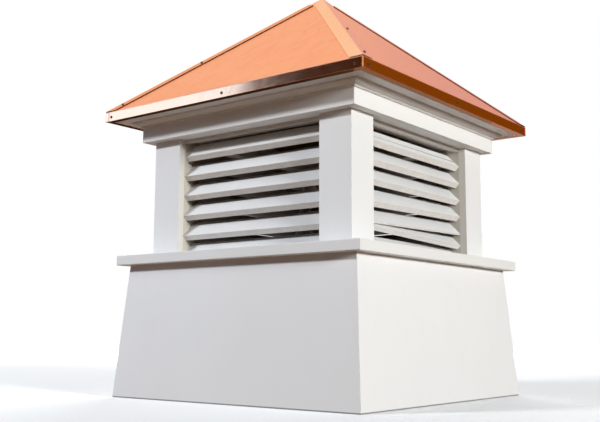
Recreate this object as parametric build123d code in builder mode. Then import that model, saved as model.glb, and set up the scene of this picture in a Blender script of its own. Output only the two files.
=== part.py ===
"""Square louvred roof cupola: flared base skirt, sill, four louvred walls, cornice and a hipped copper roof.

Millimetres. +Z is up and the origin is the middle of the base, on the plane that it rests on.
The front faces -Y and the right side faces +X.
"""
import os
from math import asin, atan2, cos, floor, radians, sin, sqrt, tan

from build123d import *

# Base skirt
foot_width = 762.0            # across the foot, outside
skirt_flare = 25.5            # how far the foot stands out beyond the skirt's top, on each side
skirt_height = 335.0
skirt_board = 12.7            # thickness of the skirt's boards, measured level

# Sill that caps the skirt and reaches as far out as the foot
sill_thick = 25.0
sill_board_width = 140.0
sill_edge_round = 2.0

# Corner posts, each two boards glued along the corner
post_setback = 66.0           # from the sill's edge to the posts' faces
post_height = 302.0
post_face = 89.0              # width of each leg
post_board = 19.0

# Louvre frames, fixed behind the posts
jamb_thick = 15.0
jamb_gap = 0.5                # between the jambs that meet behind a post
header_depth = 15.0
header_drop = 8.5             # height of the strip that shows below the frieze

# Louvre slats, all pitched at 45 degrees
slat_pitch_angle = 45.0
slat_thick = 16.0
slat_width = 50.0
slat_spacing = 51.8
first_tip = 44.8              # from the frieze down to the top slat's outer edge

# The right side's slats are uneven: level ones set closer, then three that slope, then one ripped to fit
right_spacing = 46.6
right_first_tip = 49.9
right_level_count = 3
right_sloped_slats = [
    # outer edge above the sill at the front end and at the back end, thickness, width
    (107.0, 115.0, 16.0, 50.0),
    (59.0, 68.5, 5.0, 48.0),
    (51.0, 37.0, 13.0, 38.0),
]
right_ripped_drop = 4.5       # its outer edge would lie this far below the sill's top

# Frieze and crown moulding
frieze_overhang = 25.0        # beyond the posts' faces
frieze_face = 39.0            # height that shows below the crown
frieze_board = 19.0
crown_rise = 15.0
crown_reach = 21.0            # beyond the frieze
crown_lip = 4.0               # reach of the lip along the crown's foot
crown_lip_height = 5.0
crown_lip_round = 1.8
crown_top_edge = 2.5
crown_cove_sag = 2.2          # hollow of the cove between the lip and the top edge

# Soffit, cut from one sheet
soffit_thick = 6.0
soffit_lap = 21.0             # how far it runs in behind the frieze

# Roof
eave_reach = 49.0             # from the crown to the copper's outer face
roof_rise = 348.0             # from the eave's top edge to the peak
deck_thick = 12.0
edge_strip = 19.0             # width of the strip along the deck's lower edge
sheet = 1.0                   # thickness of the copper
eave_depth = 25.0             # height of the eave band
eave_return = 17.0            # width of its bottom flange

# Hip caps
cap_wing = 27.5
cap_hem = 4.0                 # width of the folded edges
cap_lift = 1.2                # height at which the folded edges hold the cap
cap_short = 40.0              # three caps stop this far from the peak, measured along the hip

# Levels and half-widths that follow
foot_half = foot_width / 2
skirt_top_half = foot_half - skirt_flare
sill_half = foot_half
sill_inner_half = sill_half - sill_board_width
sill_top = skirt_height + sill_thick
post_half = sill_half - post_setback
post_back = post_half - post_board
opening_half = post_half - post_face
post_top = sill_top + post_height
jamb_depth = post_back - opening_half - jamb_thick - jamb_gap
jamb_back = post_back - jamb_depth
frieze_half = post_half + frieze_overhang
frieze_back = frieze_half - frieze_board
crown_foot = post_top + frieze_face
crown_half = frieze_half + crown_reach
soffit_level = crown_foot + crown_rise
soffit_top = soffit_level + soffit_thick
roof_half = crown_half + eave_reach
deck_half = roof_half - sheet
eave_bottom = soffit_level - sheet
eave_top = eave_bottom + eave_depth
peak = eave_top + roof_rise
roof_slope = atan2(roof_rise, roof_half)
sheet_drop = sheet / cos(roof_slope)
deck_drop = sheet_drop + deck_thick / cos(roof_slope)

sides = {"front": 0, "right": 90, "back": 180, "left": 270}
corners = {"front_right": 0, "back_right": 90, "back_left": 180, "front_left": 270}

# An upright plane through the centre: its first axis points out of the front and its second points up
wall_section = Plane(origin=(0, 0, 0), x_dir=(0, -1, 0), z_dir=(-1, 0, 0))
# The two upright planes that mitre a front piece at its corners
mitre_planes = [Plane(origin=(0, 0, 0), z_dir=(-1, -1, 0)), Plane(origin=(0, 0, 0), z_dir=(1, -1, 0))]

os.makedirs("parts", exist_ok=True)


def save(piece, name):
    """Label a finished piece and write its file."""
    piece.label = name
    export_step(piece, f"parts/{name}.step")


def save_round(piece, name, places):
    """Write a piece once for each place round the cupola, turned about its centre line."""
    for place, turn in places.items():
        with BuildPart() as turned:
            add(piece, rotation=(0, 0, turn))
        save(turned.part, f"{name}_{place}")


def roof_level(out, below=0.0):
    """Height of the roof's surface at a distance out from the centre line, less a drop."""
    return eave_top + (roof_half - out) * tan(roof_slope) - below


# Skirt: four flared boards, cut level at the foot and the top
with BuildPart() as base_panel:
    with BuildSketch(wall_section):
        with BuildLine():
            Polyline(
                (foot_half, 0), (skirt_top_half, skirt_height),
                (skirt_top_half - skirt_board, skirt_height), (foot_half - skirt_board, 0), close=True,
            )
        make_face()
    extrude(amount=foot_half, both=True)
    for mitre in mitre_planes:
        split(bisect_by=mitre, keep=Keep.TOP)
save_round(base_panel.part, "base_panel", sides)

# Sill: four flat boards laid on the skirt, with eased outer edges
with BuildPart() as sill_board:
    with BuildSketch(wall_section):
        with Locations(((sill_half + sill_inner_half) / 2, skirt_height + sill_thick / 2)):
            Rectangle(sill_board_width, sill_thick)
        fillet(vertices().group_by(Axis.X)[-1], sill_edge_round)
    extrude(amount=sill_half, both=True)
    for mitre in mitre_planes:
        split(bisect_by=mitre, keep=Keep.TOP)
save_round(sill_board.part, "sill_board", sides)

# Corner posts: two boards that wrap the corner
with BuildPart() as corner_post:
    with BuildSketch(Plane.XY.offset(sill_top)):
        with Locations((post_half, -post_half)):
            Rectangle(post_face, post_face, align=(Align.MAX, Align.MIN))
        with Locations((post_back, -post_back)):
            Rectangle(post_face, post_face, align=(Align.MAX, Align.MIN), mode=Mode.SUBTRACT)
    extrude(amount=post_height)
save_round(corner_post.part, "corner_post", corners)

# Louvre frames: two jambs behind the posts, and a header strip between them
with BuildPart() as louvre_frame:
    with BuildSketch(Plane.XY.offset(sill_top)):
        with Locations((-opening_half, -post_back)):
            Rectangle(jamb_thick, jamb_depth, align=(Align.MAX, Align.MIN))
        with Locations((opening_half, -post_back)):
            Rectangle(jamb_thick, jamb_depth, align=(Align.MIN, Align.MIN))
    extrude(amount=post_height)
    with BuildSketch(Plane.XY.offset(post_top)):
        with Locations((0, -post_back)):
            Rectangle(2 * opening_half, header_depth, align=(Align.CENTER, Align.MIN))
    extrude(amount=-header_drop)
save_round(louvre_frame.part, "louvre_frame", sides)

# Louvre slats: square-edged boards between the jambs, with their outer edges low so that they shed rain
slat_turn = 90 + slat_pitch_angle
slat_climb = slat_width * sin(radians(slat_pitch_angle))


def slat_outline(tip, thick, width):
    """Section of one slat, hung by its outer edge behind the posts."""
    with Locations(Location((post_back, tip), slat_turn)):
        Rectangle(width, thick, align=(Align.MIN, Align.MIN))


def level_slats(tips):
    """Full slats at the given outer edge heights, ripped where they meet the sill."""
    with BuildPart() as slats:
        with BuildSketch(wall_section):
            for tip in tips:
                slat_outline(tip, slat_thick, slat_width)
        extrude(amount=opening_half, both=True)
        split(bisect_by=Plane.XY.offset(sill_top), keep=Keep.TOP)
    return slats.part


# As many slats as show above the sill
slat_count = floor((post_height - first_tip + slat_climb) / slat_spacing) + 1
even_slats = level_slats([post_top - first_tip - slat_spacing * row for row in range(slat_count)])
save_round(even_slats, "louvre_slats", {side: turn for side, turn in sides.items() if side != "right"})

# The right side's own slats
right_tips = [post_top - right_first_tip - right_spacing * row for row in range(right_level_count)]
with BuildPart() as right_slats:
    add(level_slats(right_tips + [sill_top - right_ripped_drop]))
    for tip_near, tip_far, thick, width in right_sloped_slats:
        with BuildSketch(wall_section.offset(opening_half)):
            slat_outline(sill_top + tip_near, thick, width)
        with BuildSketch(wall_section.offset(-opening_half)):
            slat_outline(sill_top + tip_far, thick, width)
        loft(ruled=True)
save_round(right_slats.part, "louvre_slats", {"right": sides["right"]})

# Frieze: a face board glued to the plate that lies on the posts and the louvre frames
with BuildPart() as frieze_board_run:
    with BuildSketch(wall_section):
        with BuildLine():
            Polyline(
                (frieze_half, post_top), (frieze_half, soffit_level), (frieze_back, soffit_level),
                (frieze_back, post_top + frieze_board), (jamb_back, post_top + frieze_board),
                (jamb_back, post_top), close=True,
            )
        make_face()
    extrude(amount=frieze_half, both=True)
    for mitre in mitre_planes:
        split(bisect_by=mitre, keep=Keep.TOP)
save_round(frieze_board_run.part, "frieze_board", sides)

# Crown moulding: a rounded lip, a shallow cove and a thin top edge, between the frieze and the soffit
with BuildPart() as crown:
    with BuildSketch(wall_section):
        with BuildLine():
            lip_top = (frieze_half + crown_lip, crown_foot + crown_lip_height)
            edge_foot = (crown_half, soffit_level - crown_top_edge)
            Polyline((frieze_half, crown_foot), (frieze_half + crown_lip, crown_foot), lip_top)
            SagittaArc(lip_top, edge_foot, -crown_cove_sag)
            Polyline(edge_foot, (crown_half, soffit_level), (frieze_half, soffit_level), (frieze_half, crown_foot))
        make_face()
        fillet(vertices().group_by(Axis.X)[1], crown_lip_round)
    extrude(amount=crown_half, both=True)
    for mitre in mitre_planes:
        split(bisect_by=mitre, keep=Keep.TOP)
save_round(crown.part, "crown_moulding", sides)

# Soffit: one square sheet, open over the louvred room
with BuildPart() as soffit:
    with BuildSketch(Plane.XY.offset(soffit_level)):
        Rectangle(2 * deck_half, 2 * deck_half)
        Rectangle(2 * (frieze_back - soffit_lap), 2 * (frieze_back - soffit_lap), mode=Mode.SUBTRACT)
    extrude(amount=soffit_thick)
save(soffit.part, "soffit")

# Roof deck: four triangular boards, each with a strip along its lower edge that stands on the soffit
with BuildPart() as roof_deck:
    with BuildSketch(wall_section):
        with BuildLine():
            strip_half = deck_half - edge_strip
            Polyline(
                (deck_half, soffit_top), (deck_half, roof_level(deck_half, sheet_drop)),
                (0, roof_level(0, sheet_drop)), (0, roof_level(0, deck_drop)),
                (strip_half, roof_level(strip_half, deck_drop)), (strip_half, soffit_top), close=True,
            )
        make_face()
    extrude(amount=deck_half, both=True)
    for mitre in mitre_planes:
        split(bisect_by=mitre, keep=Keep.TOP)
save_round(roof_deck.part, "roof_deck", sides)

# Roof covering: four triangular copper sheets that meet at the hips
with BuildPart() as roof_panel:
    with BuildSketch(wall_section):
        with BuildLine():
            Polyline(
                (roof_half, eave_top), (0, peak), (0, peak - sheet_drop),
                (roof_half, eave_top - sheet_drop), close=True,
            )
        make_face()
    extrude(amount=roof_half, both=True)
    for mitre in mitre_planes:
        split(bisect_by=mitre, keep=Keep.TOP)
save_round(roof_panel.part, "roof_panel", sides)

# Eave band: a bent copper strip on the deck's edge, with a flange turned in under the soffit
with BuildPart() as eave_band:
    with BuildSketch(wall_section):
        with BuildLine():
            Polyline(
                (roof_half, eave_bottom), (roof_half, eave_top - sheet_drop),
                (deck_half, eave_top - sheet_drop), (deck_half, soffit_level),
                (roof_half - eave_return, soffit_level), (roof_half - eave_return, eave_bottom), close=True,
            )
        make_face()
    extrude(amount=roof_half, both=True)
    for mitre in mitre_planes:
        split(bisect_by=mitre, keep=Keep.TOP)
save_round(eave_band.part, "eave_band", sides)

# Hip caps: bent copper strips over the hips, with folded edges that rest on the roof
hip_foot = Vector(roof_half, -roof_half, eave_top)
hip = Vector(0, 0, peak) - hip_foot
cap_fold = asin(sin(roof_slope) / sqrt(2))    # tilt of each wing in a section square to the hip
hip_section = Plane(origin=hip_foot, x_dir=(-1, -1, 0), z_dir=hip)


def on_wing(along, off):
    """Point of the cap's section: a distance down the wing, and off the roof's surface."""
    return along * cos(cap_fold) + off * sin(cap_fold), off * cos(cap_fold) - along * sin(cap_fold)


with BuildPart() as hip_cap:
    with BuildSketch(hip_section.offset(-cap_wing)):
        with BuildLine():
            Polyline(
                (0, (cap_lift + sheet) / cos(cap_fold)), on_wing(cap_wing, cap_lift + sheet),
                on_wing(cap_wing, 0), on_wing(cap_wing - cap_hem, 0),
                on_wing(cap_wing - cap_hem, cap_lift), (0, cap_lift / cos(cap_fold)),
            )
            mirror(about=Plane.YZ)
        make_face()
    extrude(amount=hip.length + 2 * cap_wing)
    for trim in (
        Plane(origin=(roof_half, 0, 0), z_dir=(-1, 0, 0)), Plane(origin=(0, -roof_half, 0), z_dir=(0, 1, 0)),
        Plane(origin=(0, 0, 0), z_dir=(1, 0, 0)), Plane(origin=(0, 0, 0), z_dir=(0, -1, 0)),
    ):
        split(bisect_by=trim, keep=Keep.TOP)
save(hip_cap.part, "hip_cap_front_right")

# The other three stop short of the peak, under the first
with BuildPart() as short_cap:
    add(hip_cap.part)
    split(bisect_by=hip_section.offset(hip.length - cap_short), keep=Keep.BOTTOM)
save_round(short_cap.part, "hip_cap", {corner: turn for corner, turn in corners.items() if turn})
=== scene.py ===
"""Studio scene of a square roof cupola: white cellular PVC boards, four louvred walls and a roof of bright sheet copper."""
from math import cos, pi, radians, sin

import bmesh
import bpy
from mathutils import Matrix, Vector


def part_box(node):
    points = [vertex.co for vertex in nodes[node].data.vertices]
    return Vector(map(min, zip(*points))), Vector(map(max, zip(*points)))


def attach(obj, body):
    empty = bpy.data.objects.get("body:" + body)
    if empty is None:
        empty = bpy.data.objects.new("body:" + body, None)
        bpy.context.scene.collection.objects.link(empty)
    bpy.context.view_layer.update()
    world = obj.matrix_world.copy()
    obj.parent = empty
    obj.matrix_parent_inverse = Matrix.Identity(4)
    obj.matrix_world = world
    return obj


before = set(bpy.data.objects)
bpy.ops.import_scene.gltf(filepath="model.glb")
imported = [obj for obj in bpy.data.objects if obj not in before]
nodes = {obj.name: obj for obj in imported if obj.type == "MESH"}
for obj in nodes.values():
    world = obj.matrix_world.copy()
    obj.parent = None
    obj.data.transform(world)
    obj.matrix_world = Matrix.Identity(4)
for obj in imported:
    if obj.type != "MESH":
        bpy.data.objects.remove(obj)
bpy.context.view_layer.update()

# Base skirt: four flared boards of white cellular PVC, mitred and glued at the corners.
# The sheet is satin from the mill, with a faint tooth, soft handling marks and a thin painted shadow along its foot.
sides = ["front", "right", "back", "left"]


def node(finish, kind, inputs=None, **settings):
    """Add a shader node: settings go on the node, and inputs hold plain values or other nodes' outputs."""
    made = finish.node_tree.nodes.new("ShaderNode" + kind)
    for setting, value in settings.items():
        setattr(made, setting, value)
    for name, value in (inputs or {}).items():
        if isinstance(value, bpy.types.NodeSocket):
            finish.node_tree.links.new(value, made.inputs[name])
        else:
            made.inputs[name].default_value = value
    return made


def new_finish(name, **shader_values):
    """A finish with one plain shader, and the shader itself."""
    finish = bpy.data.materials.new(name)
    finish.use_nodes = True
    shader = finish.node_tree.nodes["Principled BSDF"]
    for socket, value in shader_values.items():
        shader.inputs[socket.replace("_", " ")].default_value = value
    return finish, shader


def join(finish, output, shader, socket):
    finish.node_tree.links.new(output, shader.inputs[socket])


def noise(finish, scale, detail=3.0, stretch=(1, 1, 1), distortion=0.0):
    """Noise in the object's own metres, finer as the scale goes up, drawn out along an axis by a small stretch."""
    place = node(finish, "TexCoord").outputs["Object"]
    stretched = node(finish, "Mapping", {"Vector": place, "Scale": stretch}).outputs["Vector"]
    grain = {"Vector": stretched, "Scale": scale, "Detail": detail, "Distortion": distortion}
    return node(finish, "TexNoise", grain).outputs["Fac"]


def spread(finish, value, low, high, soft_low=0.35, soft_high=0.65):
    """Turn a noise into a number between two ends."""
    ends = {"Value": value, "From Min": soft_low, "From Max": soft_high, "To Min": low, "To Max": high}
    return node(finish, "MapRange", ends).outputs["Result"]


def tint(finish, amount, start, end):
    """Blend between two colours."""
    mixed = {"Fac": amount, "Color1": (*start, 1), "Color2": (*end, 1)}
    return node(finish, "MixRGB", mixed).outputs["Color"]


def stain(finish, colour, amount, shade):
    """Lay a shade over a colour, multiplied."""
    mixed = {"Fac": amount, "Color1": colour, "Color2": (*shade, 1)}
    return node(finish, "MixRGB", mixed, blend_type="MULTIPLY").outputs["Color"]


def edge_mask(finish, radius):
    """One along the arrises of a board or sheet, nought on its flats, and the rounded normal that finds them."""
    rounded = node(finish, "Bevel", {"Radius": radius}, samples=4).outputs["Normal"]
    flat = node(finish, "NewGeometry").outputs["Normal"]
    facing = node(finish, "VectorMath", {0: rounded, 1: flat}, operation="DOT_PRODUCT").outputs["Value"]
    return spread(finish, facing, 1.0, 0.0, 0.86, 0.995), rounded


def inward_painted_shade(finish):
    """One on the backs and the cut edges, which look at the cupola's middle, and nought on the outer faces: the mask
    of a painted shade.
    """
    place = node(finish, "TexCoord").outputs["Object"]
    level = node(finish, "VectorMath", {0: place, 1: (1, 1, 0)}, operation="MULTIPLY").outputs["Vector"]
    facing = {0: level, 1: node(finish, "NewGeometry").outputs["Normal"]}
    outward = node(finish, "VectorMath", facing, operation="DOT_PRODUCT").outputs["Value"]
    return spread(finish, outward, 1.0, 0.0, -0.06, -0.02)


def pvc_board(name, white, streak=(1, 1, 0.12), painted_foot_line=0.0):
    """Satin cellular PVC: faint mottle, soft rub marks along a board, dulled arrises, a painted shade on the faces
    turned inward, a fine tooth, and if asked a painted shadow along its foot.
    """
    finish, shader = new_finish(name, Roughness=0.5, Specular_IOR_Level=0.12)
    edges, rounded = edge_mask(finish, 0.0012)
    mottle = noise(finish, 3.2, 3.0)
    colour = tint(finish, spread(finish, mottle, 0.0, 1.0), white, [0.98 * c for c in white])
    rubs = noise(finish, 30.0, 5.0, streak, 0.4)
    colour = stain(finish, colour, spread(finish, rubs, 0.0, 0.05, 0.52, 0.78), (0.72, 0.70, 0.68))
    specks = noise(finish, 420.0, 2.0)
    colour = stain(finish, colour, spread(finish, specks, 0.0, 0.30, 0.70, 0.78), (0.66, 0.62, 0.58))
    colour = stain(finish, colour, spread(finish, edges, 0.0, 0.16, 0.0, 1.0), (0.80, 0.78, 0.75))
    # painted shade: the faces that look at the cupola's middle, such as the jambs' sides in the openings, are
    # darkened
    colour = stain(finish, colour, inward_painted_shade(finish), (0.80, 0.77, 0.72))
    if painted_foot_line:
        # painted shadow: a thin dark line along the board's foot, where it stands on the floor
        height = node(finish, "SeparateXYZ", {"Vector": node(finish, "TexCoord").outputs["Object"]}).outputs["Z"]
        foot_shadow_mask = spread(finish, height, painted_foot_line, 0.0, 0.0018, 0.0028)
        colour = stain(finish, colour, foot_shadow_mask, (0.36, 0.35, 0.34))
    join(finish, colour, shader, "Base Color")
    join(finish, spread(finish, mottle, 0.46, 0.56), shader, "Roughness")
    tooth = noise(finish, 900.0, 3.0)
    bump = {"Height": tooth, "Strength": 0.06, "Distance": 0.0006, "Normal": rounded}
    join(finish, node(finish, "Bump", bump).outputs["Normal"], shader, "Normal")
    return finish


def dress(names, finish):
    """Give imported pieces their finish."""
    for name in names:
        nodes[name].data.materials.clear()
        nodes[name].data.materials.append(finish)


skirt_finish = pvc_board("skirt_board", (0.80, 0.80, 0.805), streak=(1, 1, 0.3), painted_foot_line=1.0)
dress([f"base_panel_{side}" for side in sides], skirt_finish)

# Sill: four flat PVC boards laid on the skirt and mitred, with eased outer edges.
# They are given a slightly warmer and duller white than the skirt, to match their tone in the photograph.
sill_white = pvc_board("sill_board", (0.77, 0.765, 0.755), streak=(0.2, 0.2, 1))
dress([f"sill_board_{side}" for side in sides], sill_white)

# Corner posts: two boards glued round each corner, and the jambs and header behind them that hold the slats.
# The posts are plain white, and the jambs and header are coloured duller and warmer, to match the photograph.
corners = ["front_right", "back_right", "back_left", "front_left"]
dress([f"corner_post_{corner}" for corner in corners], pvc_board("post_board", (0.775, 0.775, 0.775)))
dress([f"louvre_frame_{side}" for side in sides], pvc_board("louvre_frame_board", (0.63, 0.61, 0.57)))

# Louvre slats: boards ripped from thicker sheet and pinned between the jambs at 45 degrees.
# The faces are smooth, and the noses are warmer, with fine marks from the saw. The backs, seen only through
# the gaps and from inside, are coloured very dark as painted shade, so that the gaps look as dark as in the
# photograph.


def slat_board():
    """The slats' board: smooth faces, warmer sawn noses, and backs made very dark as painted shade."""
    finish, shader = new_finish("slat_board", Roughness=0.5, Specular_IOR_Level=0.10)
    edges, rounded = edge_mask(finish, 0.0010)
    normal = node(finish, "SeparateXYZ", {"Vector": node(finish, "NewGeometry").outputs["Normal"]}).outputs["Z"]
    sawn = spread(finish, normal, 1.0, 0.0, -0.55, -0.35)
    cloud = spread(finish, noise(finish, 7.0, 4.0), 0.0, 1.0)
    face = tint(finish, cloud, (0.755, 0.758, 0.765), (0.73, 0.732, 0.737))
    fleck = spread(finish, noise(finish, 60.0, 5.0), 0.0, 1.0)
    nose = tint(finish, fleck, (0.74, 0.72, 0.69), (0.79, 0.77, 0.74))
    mixed = {"Fac": sawn, "Color1": face, "Color2": nose}
    colour = node(finish, "MixRGB", mixed).outputs["Color"]
    dust = noise(finish, 150.0, 4.0)
    colour = stain(finish, colour, spread(finish, dust, 0.0, 0.12, 0.55, 0.75), (0.70, 0.66, 0.62))
    # painted shade: the slats' backs, which look at the cupola's middle, are made near black
    colour = stain(finish, colour, inward_painted_shade(finish), (0.20, 0.17, 0.15))
    colour = stain(finish, colour, spread(finish, edges, 0.0, 0.14, 0.0, 1.0), (0.78, 0.75, 0.72))
    join(finish, colour, shader, "Base Color")
    join(finish, spread(finish, sawn, 0.42, 0.72, 0.0, 1.0), shader, "Roughness")
    marks = noise(finish, 700.0, 3.0, (1, 1, 0.08))
    height = node(finish, "Math", {0: marks, 1: spread(finish, sawn, 0.12, 1.0, 0.0, 1.0)}, operation="MULTIPLY")
    bump = {"Height": height.outputs["Value"], "Strength": 0.35, "Distance": 0.0008, "Normal": rounded}
    join(finish, node(finish, "Bump", bump).outputs["Normal"], shader, "Normal")
    return finish


dress([f"louvre_slats_{side}" for side in sides], slat_board())

# The top slat of the right side is two strips with an open joint between them, dark all along its length. The gap is
# not cut: a near-black strip laid on the slat's face stands in for it, as painted shade.
slat_joint_up = 0.0205        # from the slat's outer edge, up its face
slat_joint_width = 0.0018
slat_joint_lift = 0.0003      # off the slat's face, so that the two don't share a plane
slat_joint_inset = 0.001      # short of the slat's ends
slat_width = 0.050


def mesh_piece(name, build, finish):
    """A piece whose mesh is drawn by a function into a bmesh."""
    mesh = bpy.data.meshes.new(name)
    drawn = bmesh.new()
    build(drawn)
    drawn.normal_update()
    drawn.to_mesh(mesh)
    drawn.free()
    mesh.materials.append(finish)
    piece = bpy.data.objects.new(name, mesh)
    bpy.context.scene.collection.objects.link(piece)
    return piece


def draw_joint(drawn):
    low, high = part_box("louvre_slats_right")
    face = Vector((-1, 0, 1)).normalized()          # up the slat's face
    tip = Vector((high.x, 0, high.z - slat_width * sin(pi / 4)))
    middle = tip + slat_joint_up * face
    lift = slat_joint_lift * Vector((1, 0, 1)).normalized()
    rows = []
    # the joint opens towards the back
    for along, width in ((low.y + slat_joint_inset, 0.6), (0.0, 0.9), (high.y - slat_joint_inset, 1.3)):
        reach = 0.5 * slat_joint_width * width * face
        rows.append([drawn.verts.new(middle + lift + step + Vector((0, along, 0))) for step in (-reach, reach)])
    for (a, b), (c, d) in zip(rows, rows[1:]):
        drawn.faces.new((a, c, d, b))


# painted shade: the near-black strip stands in for the shade inside the open joint
joint_gap_shade, joint_shader = new_finish("open_joint_shade", Roughness=0.9, Specular_IOR_Level=0.1)
joint_colour = tint(joint_gap_shade, noise(joint_gap_shade, 90.0), (0.012, 0.010, 0.008), (0.05, 0.045, 0.04))
join(joint_gap_shade, joint_colour, joint_shader, "Base Color")
slat_joint = mesh_piece("slat_joint", draw_joint, joint_gap_shade)
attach(slat_joint, "root")

# Cornice: the frieze board with its plate, the mitred crown moulding over it, and the soffit sheet under the eaves.
# The crown is milled stock with its lines running along it, and the soffit is thin sheet, a shade greyer.
frieze_finish = pvc_board("frieze_board", (0.80, 0.797, 0.79), streak=(0.2, 0.2, 1))
dress([f"frieze_board_{side}" for side in sides], frieze_finish)
crown_finish = pvc_board("crown_moulding", (0.78, 0.772, 0.76), streak=(0.1, 0.1, 1))
dress([f"crown_moulding_{side}" for side in sides], crown_finish)
dress(["soffit"], pvc_board("soffit_sheet", (0.74, 0.735, 0.73)))

# Roof deck: four triangular boards of plywood under the copper, seen only from inside.
# Drawn as unfinished rotary-cut fir, with long wandering grain and darker latewood lines.


def plywood():
    finish, shader = new_finish("plywood", Roughness=0.7, Specular_IOR_Level=0.25)
    bands = noise(finish, 9.0, 6.0, (1, 1, 5), 1.6)
    fibre = noise(finish, 160.0, 4.0, (0.06, 0.06, 1))
    colour = tint(finish, spread(finish, bands, 0.0, 1.0, 0.4, 0.6), (0.60, 0.43, 0.25), (0.44, 0.28, 0.14))
    colour = stain(finish, colour, spread(finish, fibre, 0.0, 0.4), (0.62, 0.50, 0.38))
    join(finish, colour, shader, "Base Color")
    bump = {"Height": fibre, "Strength": 0.25, "Distance": 0.0005}
    join(finish, node(finish, "Bump", bump).outputs["Normal"], shader, "Normal")
    return finish


dress([f"roof_deck_{side}" for side in sides], plywood())

# Roof covering: four triangular sheets of bright new copper over the deck.
# Mill-finish sheet has a soft sheen, hand marks and slow waves where it lies unevenly on the boards.


def sheet_copper(
    name, bright, deep, sheen, wave=0.0012, wave_scale=3.2, edge_tarnish_and_shade=0.35,
    under_painted_shade=0.0, under_from=-0.5, right_painted_reflection=0.0, glance=(1.0, 0.78, 0.62),
):
    """Bright sheet copper: colour drifts between two tones, rubbed grain, smudges and slow waves.

    Two arguments paint light into the colour: a painted shade on the faces that look down, and a painted reflection
    that dulls those that look right.
    """
    finish, shader = new_finish(name, Metallic=1.0, Roughness=sheen, Specular_Tint=(*glance, 1))
    edges, rounded = edge_mask(finish, 0.0009)
    drift = noise(finish, 2.6, 3.0, (1, 1, 1), 0.6)
    colour = tint(finish, spread(finish, drift, 0.0, 1.0, 0.3, 0.7), bright, deep)
    smudge = noise(finish, 24.0, 5.0, (1, 1, 1), 1.2)
    colour = stain(finish, colour, spread(finish, smudge, 0.0, 0.22, 0.56, 0.78), (0.80, 0.66, 0.60))
    # darker arrises: tarnish along the sheet's edges, and, where it is set strongest on the hip caps, a painted shade
    # along their folded edges
    colour = stain(finish, colour, spread(finish, edges, 0.0, edge_tarnish_and_shade, 0.0, 1.0), (0.32, 0.10, 0.03))
    facing = node(finish, "SeparateXYZ", {"Vector": node(finish, "NewGeometry").outputs["Normal"]}).outputs
    # painted shade: the faces that look down are darkened, as far as near black
    shaded = spread(finish, facing["Z"], under_painted_shade, 0.0, under_from - 0.2, under_from)
    colour = stain(finish, colour, shaded, (0.13, 0.075, 0.068))
    # painted reflection: the faces that look right are tinted pinker and duller
    right_reflection_tint = spread(finish, facing["X"], 0.0, right_painted_reflection, 0.4, 0.5)
    colour = stain(finish, colour, right_reflection_tint, (0.97, 0.70, 0.64))
    join(finish, colour, shader, "Base Color")
    rubbed = noise(finish, 240.0, 3.0, (0.15, 0.15, 1))
    handled = spread(finish, smudge, -0.1 * sheen, 0.2 * sheen)
    grained = spread(finish, rubbed, sheen - 0.01, sheen + 0.01)
    rough = node(finish, "Math", {0: handled, 1: grained})
    join(finish, rough.outputs["Value"], shader, "Roughness")
    waves = noise(finish, wave_scale, 2.0)
    slow = {"Height": waves, "Strength": 1.0, "Distance": wave, "Normal": rounded}
    rolled = node(finish, "Bump", slow).outputs["Normal"]
    fine = {"Height": rubbed, "Strength": 0.05, "Distance": 0.0003, "Normal": rolled}
    join(finish, node(finish, "Bump", fine).outputs["Normal"], shader, "Normal")
    return finish


roof_copper = sheet_copper("roof_copper", (0.99, 0.44, 0.24), (0.96, 0.41, 0.22), sheen=0.34)
dress([f"roof_panel_{side}" for side in sides], roof_copper)

# Eave band: a bent copper strip round the edge of the deck, its bottom flange turned in under the soffit.
# Its finish is glossier and deeper than the roof's, and its underside carries a dark painted shade, to match the
# photograph.
band_copper = sheet_copper(
    "band_copper", (0.90, 0.38, 0.17), (0.87, 0.35, 0.15), sheen=0.12, wave=0.0005, wave_scale=5.0,
    edge_tarnish_and_shade=0.3, under_painted_shade=1.0, glance=(0.86, 0.66, 0.55),
)
dress([f"eave_band_{side}" for side in sides], band_copper)

# Corner laps: the end of each strip is bent round the corner and laid flat on the next side's strip.
lap_reach = 0.0125
lap_return = 0.003
lap_sheet = 0.0008
lap_bend = 0.0022
lap_steps = 8
lap_foot = 0.0008             # the lap stops short of the band's bottom edge
lap_head = 0.0004             # and of its top edge
lap_tuck = 0.0002


def quarter_turns(drawn):
    """Repeat what is drawn round the cupola's centre line."""
    faces = list(drawn.faces)
    edges = list({edge for face in faces for edge in face.edges})
    verts = list({vert for face in faces for vert in face.verts})
    for turn in range(1, 4):
        copied = bmesh.ops.duplicate(drawn, geom=faces + edges + verts)
        moved = [v for v in copied["geom"] if isinstance(v, bmesh.types.BMVert)]
        bmesh.ops.rotate(drawn, verts=moved, cent=(0, 0, 0), matrix=Matrix.Rotation(turn * pi / 2, 3, "Z"))


def draw_laps(drawn):
    low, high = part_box("eave_band_front")
    corner = high.x
    bottom, top = low.z + lap_foot, high.z - lap_head
    outer = []
    out = corner + lap_sheet
    # across the front, round the bend and along the right side
    for step in range(lap_steps + 1):
        turn = step / lap_steps * pi / 2
        outer.append((out - lap_bend + lap_bend * sin(turn), -out + lap_bend - lap_bend * cos(turn)))
    outer = [(corner - lap_return, -out)] + outer + [(out, -corner + lap_reach), (corner, -corner + lap_reach)]
    outer += [(corner, -corner + lap_tuck), (corner - lap_tuck, -corner), (corner - lap_return, -corner)]
    lower = [drawn.verts.new((x, y, bottom)) for x, y in outer]
    upper = [drawn.verts.new((x, y, top)) for x, y in outer]
    count = len(outer)
    for i in range(count):
        j = (i + 1) % count
        drawn.faces.new((lower[i], lower[j], upper[j], upper[i]))
    drawn.faces.new(list(reversed(lower)))
    drawn.faces.new(upper)
    quarter_turns(drawn)


band_laps = mesh_piece("band_laps", draw_laps, band_copper)
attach(band_laps, "root")

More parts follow.
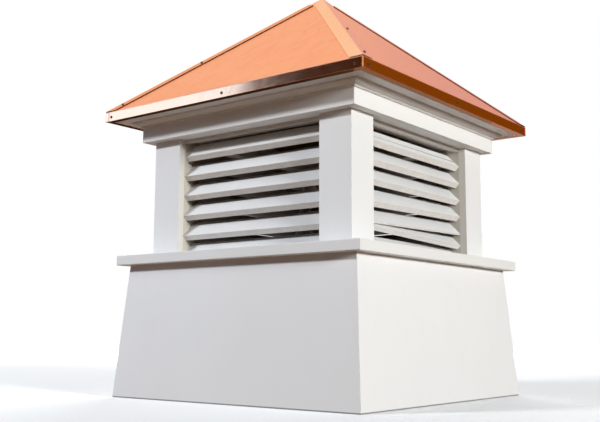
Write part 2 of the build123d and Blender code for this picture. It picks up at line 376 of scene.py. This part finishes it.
# Hip caps: strips of copper bent to the two slopes, with folded edges that hold them off the roof.
# The near one is coloured paler, with a painted reflection dulling its right wing, and the others deeper, to match
# the photograph. All carry a painted shade on the faces that look down.
pale_cap = sheet_copper(
    "cap_copper", (1.0, 0.61, 0.375), (0.99, 0.57, 0.345), sheen=0.30, wave=0.0006, wave_scale=5.0,
    edge_tarnish_and_shade=0.5, under_painted_shade=0.8, under_from=-0.54, right_painted_reflection=1.0,
)
deep_cap = sheet_copper(
    "deep_cap_copper", (0.89, 0.345, 0.125), (0.83, 0.30, 0.10), sheen=0.27, wave=0.0006, wave_scale=5.0,
    edge_tarnish_and_shade=1.0, under_painted_shade=1.0, under_from=0.3,
)
dress(["hip_cap_front_right"], pale_cap)
dress([f"hip_cap_{corner}" for corner in corners if corner != "front_right"], deep_cap)

# Screws: hex heads with a washer turned on them, through the eave band and through one wing of each hip cap.
# They are plated a dark bronze, worn bright on the corners by the driver.
screw_washer = 0.0038
screw_head = 0.0027
screw_height = 0.0024
washer_rim = 0.0005
washer_top = 0.0009
ring_points = 24
band_places = (-0.388, 0.008, 0.389)                 # along each side
cap_places = (0.050, 0.290)                          # up each hip from the eave
cap_across = 0.0125                                  # down the wing from the fold
cap_face = 0.0034                                    # height of the wing's face off the line of the hip
band_screw_drop = 0.001                              # below the middle of the band


def draw_screw(drawn, point, out):
    """One hex head with its washer, standing on a point and facing out."""
    # radius, height and number of corners of each ring, from the foot up
    rings = [(screw_washer, 0.0, 24), (screw_washer, washer_rim, 24), (screw_washer * 0.86, washer_top, 24)]
    rings += [(screw_head, washer_top, 6), (screw_head, screw_height * 0.8, 6), (screw_head * 0.82, screw_height, 6)]
    turned = Vector((0, 0, 1)).rotation_difference(out).to_matrix()
    loops = []
    for radius, rise, corners_round in rings:
        loop = []
        for i in range(ring_points):
            # a hex ring keeps as many points as the round ones, so that they join
            angle = i * 2 * pi / ring_points
            if corners_round == 6:
                within = (angle % (pi / 3)) - pi / 6
                reach = radius * cos(pi / 6) / cos(within)
            else:
                reach = radius
            spot = Vector((reach * cos(angle), reach * sin(angle), rise))
            loop.append(drawn.verts.new(point + turned @ spot))
        loops.append(loop)
    for lower, upper in zip(loops, loops[1:]):
        for i in range(ring_points):
            j = (i + 1) % ring_points
            drawn.faces.new((lower[i], lower[j], upper[j], upper[i]))
    drawn.faces.new(loops[-1])


def draw_screws(drawn):
    low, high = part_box("eave_band_front")
    for along in band_places:
        draw_screw(drawn, Vector((along, low.y, (low.z + high.z) / 2 - band_screw_drop)), Vector((0, -1, 0)))
    foot = Vector((high.x, -high.x, high.z))
    hip = Vector((0, 0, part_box("roof_panel_right")[1].z)) - foot
    roof_out = Vector((hip.z, 0, high.x)).normalized()
    across = hip.cross(roof_out).normalized()
    if across.y < 0:
        across = -across
    for along in cap_places:
        place = foot + along * hip.normalized() + cap_across * across + cap_face * roof_out
        draw_screw(drawn, place, roof_out)
    quarter_turns(drawn)


def screw_plate():
    finish, shader = new_finish("screw_bronze", Metallic=1.0, Roughness=0.3)
    edges, rounded = edge_mask(finish, 0.0004)
    colour = tint(finish, spread(finish, noise(finish, 300.0), 0.0, 1.0), (0.105, 0.05, 0.028), (0.07, 0.034, 0.02))
    worn = {"Fac": spread(finish, edges, 0.0, 0.4, 0.0, 1.0), "Color1": colour, "Color2": (0.55, 0.34, 0.22, 1)}
    join(finish, node(finish, "MixRGB", worn).outputs["Color"], shader, "Base Color")
    join(finish, rounded, shader, "Normal")
    return finish


roof_screws = mesh_piece("roof_screws", draw_screws, screw_plate())
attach(roof_screws, "root")

# Studio floor: pale board under the cupola. Lit, it shows white to the camera and in the copper.
# Near the cupola its own glow is low, so what darkens it is the shadow that the lamps cast.
# To the light that bounces off it the board is dark and brown, which keeps the undersides deep.
floor_mesh = bpy.data.meshes.new("floor")
floor_drawn = bmesh.new()
bmesh.ops.create_grid(floor_drawn, x_segments=1, y_segments=1, size=14.0)
floor_drawn.to_mesh(floor_mesh)
floor_drawn.free()
floor = bpy.data.objects.new("floor", floor_mesh)
bpy.context.scene.collection.objects.link(floor)
floor.location.z = -0.0008
floor_finish = bpy.data.materials.new("studio_floor")
floor_finish.use_nodes = True
floor_finish.node_tree.nodes.clear()


def seen_rays(finish):
    """One for the rays of the camera and for what shows in metal and glass."""
    path = node(finish, "LightPath").outputs
    seen = node(finish, "Math", {0: path["Is Camera Ray"], 1: path["Is Glossy Ray"]}, operation="MAXIMUM")
    either = {0: seen.outputs["Value"], 1: path["Is Transmission Ray"]}
    return node(finish, "Math", either, operation="MAXIMUM").outputs["Value"]


to_camera = node(floor_finish, "LightPath").outputs["Is Camera Ray"]
floor_place = node(floor_finish, "TexCoord").outputs["Object"]
away = node(floor_finish, "VectorMath", {0: floor_place}, operation="LENGTH").outputs["Value"]
far = spread(floor_finish, away, 0.0, 1.0, 2.4, 4.5)  # metres from the cupola's middle
near_glow = tint(floor_finish, far, (0.25, 0.258, 0.27), (1.0, 1.0, 1.0))
mirrored = {"Fac": to_camera, "Color1": (1, 1, 1, 1), "Color2": near_glow}
glow = node(floor_finish, "MixRGB", mirrored).outputs["Color"]
shown = node(floor_finish, "Emission", {"Color": glow, "Strength": seen_rays(floor_finish)}).outputs["Emission"]
board_colour = tint(floor_finish, to_camera, (0.175, 0.092, 0.04), (0.75, 0.75, 0.75))
board = node(floor_finish, "BsdfDiffuse", {"Color": board_colour}).outputs["BSDF"]
both = node(floor_finish, "AddShader", {0: board, 1: shown}).outputs["Shader"]
node(floor_finish, "OutputMaterial", {"Surface": both})
floor_mesh.materials.append(floor_finish)

# Background: white to the camera and in the copper, and a weak warm fill on the boards.
world = bpy.data.worlds.new("studio")
bpy.context.scene.world = world
world.use_nodes = True
world.node_tree.nodes.clear()
fill = node(world, "Background", {"Color": (1.0, 0.90, 0.80, 1), "Strength": 0.018}).outputs["Background"]
white = node(world, "Background", {"Color": (1, 1, 1, 1), "Strength": 1.0}).outputs["Background"]
sky = node(world, "MixShader", {"Fac": seen_rays(world), 1: fill, 2: white}).outputs["Shader"]
node(world, "OutputWorld", {"Surface": sky})

# Lamps: a low key to the right, a cool softbox over the front from the left, and a wide one behind.
lamp_aim = Vector((0, 0, 0.65))


def softbox(name, azimuth, height, distance, size, watts, colour):
    """An area lamp aimed at the cupola. Azimuth is from the front towards the right, in degrees."""
    lamp = bpy.data.lights.new(name, "AREA")
    lamp.shape, lamp.size, lamp.size_y = "RECTANGLE", *size
    lamp.energy, lamp.color = watts, colour
    box = bpy.data.objects.new(name, lamp)
    bpy.context.scene.collection.objects.link(box)
    box.location = (distance * sin(radians(azimuth)), -distance * cos(radians(azimuth)), height)
    box.rotation_euler = (lamp_aim - box.location).to_track_quat("-Z", "Y").to_euler()
    box.visible_camera = False
    box.visible_glossy = False


softbox("key_softbox", azimuth=76, height=1.8, distance=7.0, size=(1.2, 1.2), watts=500, colour=(0.985, 1.0, 0.985))
softbox("sky_softbox", azimuth=-32, height=3.2, distance=5.0, size=(1.3, 0.5), watts=238, colour=(0.91, 0.95, 1.0))
softbox("back_softbox", azimuth=-150, height=2.4, distance=5.0, size=(3.2, 2.4), watts=250, colour=(0.97, 0.985, 1.0))

# Reflection cards: what the sheet copper mirrors, a dark studio in front and a cool window at the front left.
# Each row gives azimuth, height, distance, size, colour and strength. They show in gloss only, mostly the copper's.


def reflection_card(name, azimuth, level, distance, size, colour, strength):
    """A card that shows only in gloss, facing the cupola. Azimuth is from the front towards the right."""
    mesh = bpy.data.meshes.new(name)
    drawn = bmesh.new()
    bmesh.ops.create_grid(drawn, x_segments=1, y_segments=1, size=0.5)
    bmesh.ops.scale(drawn, vec=(size[0], size[1], 1), verts=drawn.verts)
    drawn.to_mesh(mesh)
    drawn.free()
    card = bpy.data.objects.new(name, mesh)
    bpy.context.scene.collection.objects.link(card)
    card.location = (distance * sin(radians(azimuth)), -distance * cos(radians(azimuth)), level)
    card.rotation_euler = (card.location - Vector((0, 0, level))).to_track_quat("Z", "Y").to_euler()
    finish = bpy.data.materials.new(name)
    finish.use_nodes = True
    finish.node_tree.nodes.clear()
    glow = node(finish, "Emission", {"Color": (*colour, 1), "Strength": strength}).outputs["Emission"]
    node(finish, "OutputMaterial", {"Surface": glow})
    mesh.materials.append(finish)
    for seen in ("camera", "diffuse", "transmission", "volume_scatter", "shadow"):
        setattr(card, "visible_" + seen, False)


reflection_card("window_card", -56.0, 2.0, 5.0, (3.25, 3.2), (0.23, 0.48, 1.0), 5.4)
reflection_card("dark_card_front", -16.5, 2.0, 5.0, (3.9, 3.2), (0.048, 0.022, 0.002), 1.0)
reflection_card("dark_card_back", 152, 1.9, 4.6, (4.4, 2.8), (0.23, 0.115, 0.01), 1.0)
reflection_card("pale_card_back", -165, 2.2, 5.0, (4.6, 4.2), (0.60, 0.53, 0.82), 1.0)
reflection_card("dark_card_low", -132, 0.25, 1.6, (2.1, 0.5), (0.10, 0.05, 0.04), 1.0)

# Camera: at the photograph's place, low and off the front right corner, looking up a little.
camera_place = Vector((1.4059, -1.9000, 0.1623))
camera_turn, camera_tilt, camera_roll = radians(37.916), radians(7.886), radians(0.261)
lens_pixels = 883.45                                  # focal length, in pixels of the image
image_width = 600
sensor_width = 36.0
camera = bpy.data.objects.new("camera", bpy.data.cameras.new("camera"))
bpy.context.scene.collection.objects.link(camera)
camera.data.sensor_width = sensor_width
camera.data.lens = lens_pixels * sensor_width / image_width
turned = Matrix.Rotation(camera_turn, 4, "Z") @ Matrix.Rotation(pi / 2 + camera_tilt, 4, "X")
rolled = Matrix.Rotation(camera_roll, 4, "Z")
camera.matrix_world = Matrix.Translation(camera_place) @ turned @ rolled
bpy.context.scene.camera = camera
bpy.context.scene.view_settings.view_transform = "Standard"
